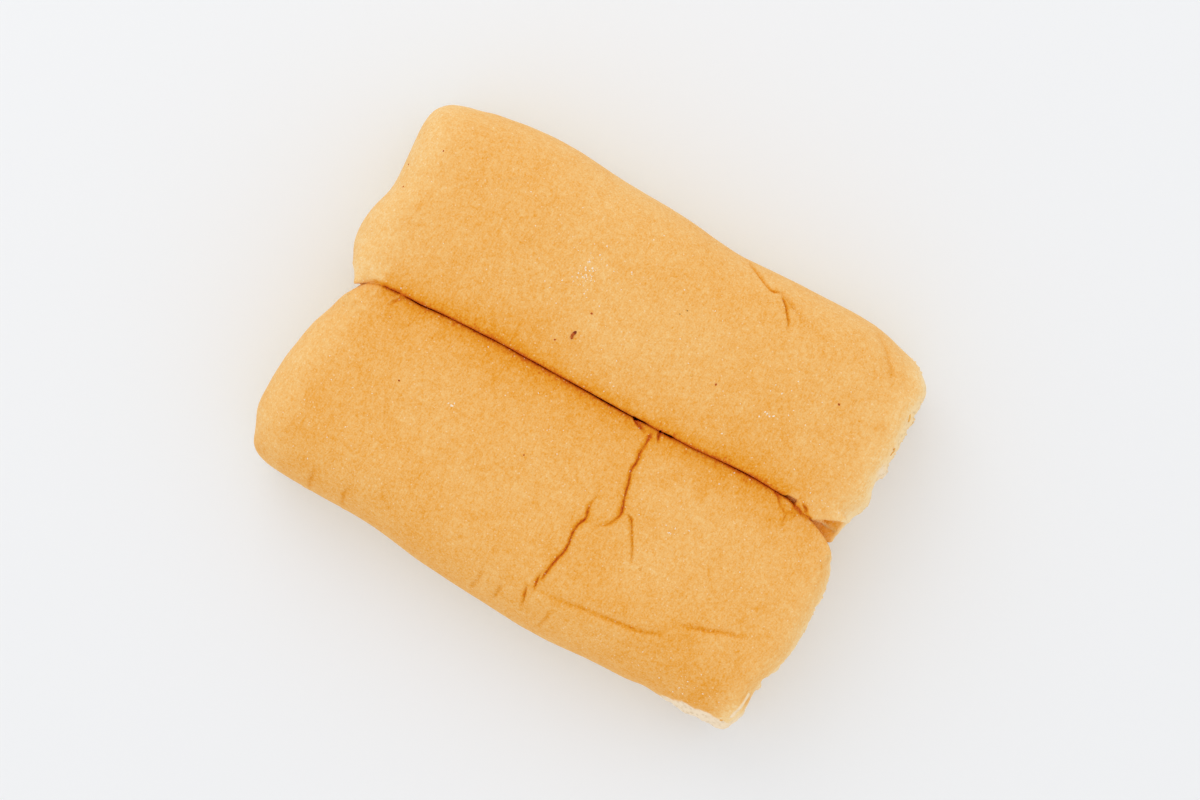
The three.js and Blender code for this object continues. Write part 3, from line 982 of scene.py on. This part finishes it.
def cover(piece, material):
    piece.data.materials.clear()
    piece.data.materials.append(material)


CRUST = crust_material()
cover(rolls, CRUST)


# ===== Small bits on the crust and along the torn ends =====

BRAN_FLAKE = {"place": (-13.5, 15.5), "length": 2.6, "thickness": 0.34, "toward": 77,
              "half_widths": [0.2, 0.36, 0.44, 0.4, 0.34, 0.4, 0.44, 0.4, 0.24],
              "bend": [-0.3, -0.2, -0.04, 0.08, 0.14, 0.12, 0.06, 0.04, 0.04],
              "toast": [0.45, 0.4, 0.35, 0.45, 0.3, 0.45, 0.9, 1, 0.9]}
# Each speck's place from above and its radius.
BRAN_SPECKS = [
    (-17.2, 12, 0.26), (-12, 22.8, 0.27), (26, 22.3, 0.3), (-48.2, -17.6, 0.24), (-9.5, -18.8, 0.22),
    (57.2, 33.5, 0.28), (-67.5, 41.6, 0.22), (-74.5, 34.2, 0.24), (-72.5, 28.2, 0.24),
]
TOASTED_SPOTS = [
    (19.1, 21.3, 0.4), (-35.6, 32.2, 0.42), (32.2, -30.4, 0.45), (60.6, 36.6, 0.35), (71.5, -55.8, 0.45),
    (76.2, 30.3, 0.45), (76.3, 29.5, 0.5), (76.2, 28.7, 0.4),
]
CRUST_FLAPS = [(75.9, 39.5, 0.8), (75.6, 40.2, 0.6)]
# Clusters of flour: the middle, the spread along x and y, how many grains and how large.
FLOUR_CLUSTERS = [
    (-18.3, 31, 1.4, 1.5, 26, 0.2), (-18.6, 36.5, 1.6, 2.4, 14, 0.2),
    (-21.5, 28, 2.5, 3, 14, 0.17), (47, 27, 6, 5, 16, 0.2), (42, 22, 1.2, 0.8, 6, 0.26),
    (-32.4, -16.4, 0.6, 0.7, 6, 0.24), (32.5, -17.5, 2.2, 0.8, 8, 0.22),
    (-9, -12, 5, 4, 6, 0.2), (62, -52, 5, 3, 22, 0.2), (66, 8, 4, 3, 8, 0.16),
    (-60, -30, 9, 12, 20, 0.16), (10, -10, 34, 22, 46, 0.17), (0, 28, 40, 16, 52, 0.17),
]
# Flour lies where the crust's direction points up by at least this much.
FLOUR_LIES_FROM = 0.6
# Stretches of the torn ends that crumble: y from and to, z from and to, how many crumbs and how large.
CRUMB_RUNS = [
    (24.5, 47, 11, 27, 80, 0.45), (9, 22, 12, 26, 12, 0.26), (22.4, 25, 15, 24, 9, 0.75),
    (47, 55, 10, 24, 10, 0.35), (-37.5, -9, 11, 27, 80, 0.42), (-44.2, -42.4, 18, 27, 7, 0.5),
    (-57, -46, 9, 22, 14, 0.3), (-58, 56, 2.5, 22, 110, 0.4),
]
# The torn side crumbles too: x from and to, and the rest as above.
SIDE_CRUMBS = (57, 74, 5, 20, 34, 0.26)
CRUMBS_FROM_X = 56
# Crumbs keep this far from the seam's y.
CRUMB_SEAM_Y = 3
CRUMB_SEAM_CLEARANCE = 6
CRUMB_UNEVENNESS = 0.35
CRUMB_BAKE = 0.3
# A bit's uneven shape, as (height, length) pairs.
BIT_LUMPS = ((1, 0.9), (0.5, 0.4))
# Where the rays that find the skin start, clear of the rolls.
ABOVE = 80
OUTSIDE = 120


def bit(name, subdivisions, flatness, unevenness):
    """A small uneven lump of one millimetre radius, flattened on its own Z axis."""
    piece = primitive(name, bpy.ops.mesh.primitive_ico_sphere_add, subdivisions=subdivisions, radius=MM)
    points = positions(piece)
    uneven = 1 + unevenness * sum(noise_layers(points, BIT_LUMPS, SEEDS["bits"]))
    place(piece, points * uneven[:, None] * np.array([1, 1, flatness]))
    return piece


def onto(location, normal, size, turn):
    """Turns and scales a bit and sets its middle on the skin."""
    lie = normal.to_track_quat("Z", "Y").to_matrix().to_4x4()
    return Matrix.Translation(location) @ lie @ Matrix.Rotation(turn, 4, "Z") @ Matrix.Diagonal((*size, 1))


def scatter(name, sample, spots, values):
    """Copies a bit to each spot, with its own values, and joins the copies into one piece."""
    copies = []
    for matrix, value in zip(spots, values):
        copy = sample.copy()
        copy.data = sample.data.copy()
        copy.data.transform(matrix)
        for key, number in value.items():
            paint(copy, key, np.full(len(copy.data.vertices), number))
        bpy.context.collection.objects.link(copy)
        copies.append(copy)
    bpy.data.objects.remove(sample)
    bpy.ops.object.select_all(action="DESELECT")
    for copy in copies:
        copy.select_set(True)
    bpy.context.view_layer.objects.active = copies[0]
    bpy.ops.object.join()
    piece = bpy.context.object
    piece.name = name
    bpy.ops.object.shade_smooth()
    return piece


def skin_from(start, direction):
    """Where a straight line first meets the rolls, and the skin's direction there, or None."""
    hit, location, normal, _ = rolls.ray_cast(Vector(start) * MM, Vector(direction))
    return (location, normal) if hit else None


def on_top(x, y):
    return skin_from((x, y, ABOVE), (0, 0, -1))


def add_to_rolls(piece, material):
    place(piece, in_box(positions(piece)))
    cover(piece, material)
    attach(piece, "root")


def bran_flake():
    """A curled flake of bran that lies on the back roll."""
    flake = BRAN_FLAKE
    size = (flake["length"] * MM, MM, flake["thickness"] * MM)
    piece = primitive("bran_flake", bpy.ops.mesh.primitive_cube_add, size=1, scale=size)
    bpy.ops.object.transform_apply(location=False, rotation=False, scale=True)
    edit(piece, edges=np.ones(len(piece.data.edges), dtype=bool))
    bpy.ops.mesh.subdivide(number_cuts=7)
    leave_edit()
    points = positions(piece)
    share = points[:, 0] / flake["length"] + 0.5
    width = 2 * curve_through(flake["half_widths"], share)
    round_ends = np.sqrt(np.clip(1 - (2 * share - 1) ** 8, 0.15, 1))
    arch = 0.12 * np.cos(2.5 * points[:, 1])
    points[:, 2] = points[:, 2] * round_ends + arch + 0.06 * noise_at(points, 0.7, SEEDS["flake"])
    points[:, 1] = points[:, 1] * width * round_ends + curve_through(flake["bend"], share)
    place(piece, points)
    paint(piece, "toast", curve_through(flake["toast"], share))
    smooth = piece.modifiers.new("rounding", "SUBSURF")
    smooth.levels = smooth.render_levels = 1
    bpy.ops.object.modifier_apply(modifier=smooth.name)
    location, _ = on_top(*flake["place"])
    turn = Matrix.Rotation(math.radians(flake["toward"]), 4, "Z")
    piece.data.transform(Matrix.Translation(location) @ turn)
    bpy.ops.object.shade_smooth()
    return piece


def specks_on_crust(name, places, flatness, toast):
    """Specks at their own places, a little longer than wide and each toasted a little differently."""
    spots = []
    chance = random.Random(name)
    for x, y, radius in places:
        location, normal = on_top(x, y)
        long = radius * chance.uniform(1, 1.4)
        spots.append(onto(location, normal, (long, radius, radius), chance.uniform(0, 3)))
    values = [{"toast": toast + chance.uniform(-0.1, 0.1)} for _ in spots]
    return scatter(name, bit(name + "_sample", 2, flatness, 0.3), spots, values)


def flour_grains():
    """Grains of flour in clusters, where the crust isn't too steep."""
    chance = random.Random(5)
    spots = []
    for x, y, spread_x, spread_y, count, size in FLOUR_CLUSTERS:
        for _ in range(count):
            found = on_top(chance.gauss(x, spread_x), chance.gauss(y, spread_y))
            if found is None or found[1].z < FLOUR_LIES_FROM:
                continue
            radius = size * chance.uniform(0.5, 1.25)
            stretch = (radius * chance.uniform(1, 1.7), radius, radius * 0.6)
            spots.append(onto(*found, stretch, chance.uniform(0, 3)))
    return scatter("flour_grains", bit("grain", 1, 0.8, 0.5), spots, [{}] * len(spots))


def on_torn_crumb(hit):
    """Whether a hit is on a torn end or side, and clear of the seam."""
    if hit is None:
        return False
    location, _ = hit
    clear = abs(location.y - CRUMB_SEAM_Y * MM) > CRUMB_SEAM_CLEARANCE * MM
    return location.x > CRUMBS_FROM_X * MM and clear


def crumb_bits():
    """Bits of crumb that cling to the torn ends and the torn side."""
    chance = random.Random(8)
    found = []
    for y_low, y_high, z_low, z_high, count, size in CRUMB_RUNS:
        for _ in range(count):
            start = (OUTSIDE, chance.uniform(y_low, y_high), chance.uniform(z_low, z_high))
            found.append((skin_from(start, (-1, 0, 0)), size))
    x_low, x_high, z_low, z_high, count, size = SIDE_CRUMBS
    for _ in range(count):
        start = (chance.uniform(x_low, x_high), -OUTSIDE, chance.uniform(z_low, z_high))
        found.append((skin_from(start, (0, 1, 0)), size))
    found = [(hit, size) for hit, size in found if on_torn_crumb(hit)]
    spots = []
    for (location, normal), size in found:
        scale = [size * chance.uniform(0.45, 1.15) for _ in range(3)]
        spots.append(onto(location, normal, scale, chance.uniform(0, 3)))
    middles = np.array([tuple(location) for (location, _), _ in found]) / MM
    values = [{"torn": 1, "crumb_gold": gold, "bake": CRUMB_BAKE} for gold in crumb_gold(middles)]
    return scatter("crumb_bits", bit("crumb", 2, 0.9, CRUMB_UNEVENNESS), spots, values)


def flour_material():
    material, nodes, shader = new_material("flour")
    _, shade, _ = grain(nodes, 0.02)
    tone = nodes.mix(nodes.step(shade, 0.35, 0.65), (0.92, 0.7, 0.44, 1), (0.96, 0.85, 0.68, 1))
    nodes.fill(shader, Base_Color=tone, Roughness=0.95)
    return material


bpy.context.view_layer.update()
bran = toasted_material("toasted_bran", (0.2, 0.03, 0.012), (0.58, 0.13, 0.02), 0.7, 0.05)
toast = toasted_material("toasted_crust", (0.72, 0.25, 0.02), (0.86, 0.46, 0.09), 0.8, 0.5)
add_to_rolls(bran_flake(), bran)
add_to_rolls(specks_on_crust("bran_specks", BRAN_SPECKS, 0.45, 0.3), bran)
add_to_rolls(specks_on_crust("toasted_spots", TOASTED_SPOTS, 0.3, 0.4), toast)
add_to_rolls(specks_on_crust("crust_flaps", CRUST_FLAPS, 0.3, 0), toast)
add_to_rolls(flour_grains(), flour_material())
add_to_rolls(crumb_bits(), CRUST)


# ===== Floor, light and camera =====

# Seen from above, the picture is turned by this angle. Its middle lies over this point.
PHOTO_TURN = math.radians(29)
PHOTO_MIDDLE = Vector((1.1, 3.8, 17)) * MM
CAMERA_DISTANCE = 0.6845
LENS = 75
SENSOR = 36
PICTURE_RIGHT = Vector((math.cos(PHOTO_TURN), math.sin(PHOTO_TURN), 0))
PICTURE_UP = Vector((-math.sin(PHOTO_TURN), math.cos(PHOTO_TURN), 0))
FLOOR_COLOUR = (0.86, 0.868, 0.878, 1)
# One soft panel up the picture and a little to its left, in even light from all around.
PANEL_DIRECTION = (PICTURE_UP - PICTURE_RIGHT * 0.35 + Vector((0, 0, 0.9))).normalized()
PANEL_DISTANCE = 1.1
PANEL_SIZE = 0.8
PANEL_POWER = 1.5
PANEL_COLOUR = (1, 0.99, 0.97)
STUDIO_COLOUR = (0.985, 0.99, 1, 1)
STUDIO_STRENGTH = 0.97


def pale_floor():
    floor = primitive("floor", bpy.ops.mesh.primitive_plane_add, size=8, location=(0, 0, 0))
    material, nodes, shader = new_material("pale_floor")
    nodes.fill(shader, Base_Color=FLOOR_COLOUR, Roughness=0.9)
    cover(floor, material)


def camera_over_the_rolls():
    camera = bpy.data.objects.new("camera", bpy.data.cameras.new("camera"))
    bpy.context.collection.objects.link(camera)
    camera.data.lens = LENS
    camera.data.sensor_width = SENSOR
    turn = Matrix((PICTURE_RIGHT, PICTURE_UP, Vector((0, 0, 1)))).transposed()
    camera.matrix_world = Matrix.Translation(PHOTO_MIDDLE + Vector((0, 0, CAMERA_DISTANCE))) @ turn.to_4x4()
    bpy.context.scene.camera = camera


def window_panel():
    lamp = bpy.data.lights.new("window_panel", "AREA")
    lamp.shape = "SQUARE"
    lamp.size = PANEL_SIZE
    lamp.energy = PANEL_POWER
    lamp.color = PANEL_COLOUR
    panel = bpy.data.objects.new("window_panel", lamp)
    bpy.context.collection.objects.link(panel)
    panel.location = PANEL_DIRECTION * PANEL_DISTANCE
    panel.rotation_euler = PANEL_DIRECTION.to_track_quat("Z", "Y").to_euler()


def even_studio_light():
    world = bpy.data.worlds.new("studio")
    bpy.context.scene.world = world
    world.use_nodes = True
    background = world.node_tree.nodes["Background"]
    background.inputs["Color"].default_value = STUDIO_COLOUR
    background.inputs["Strength"].default_value = STUDIO_STRENGTH


pale_floor()
camera_over_the_rolls()
window_panel()
even_studio_light()
bpy.context.scene.view_settings.view_transform = "Standard"
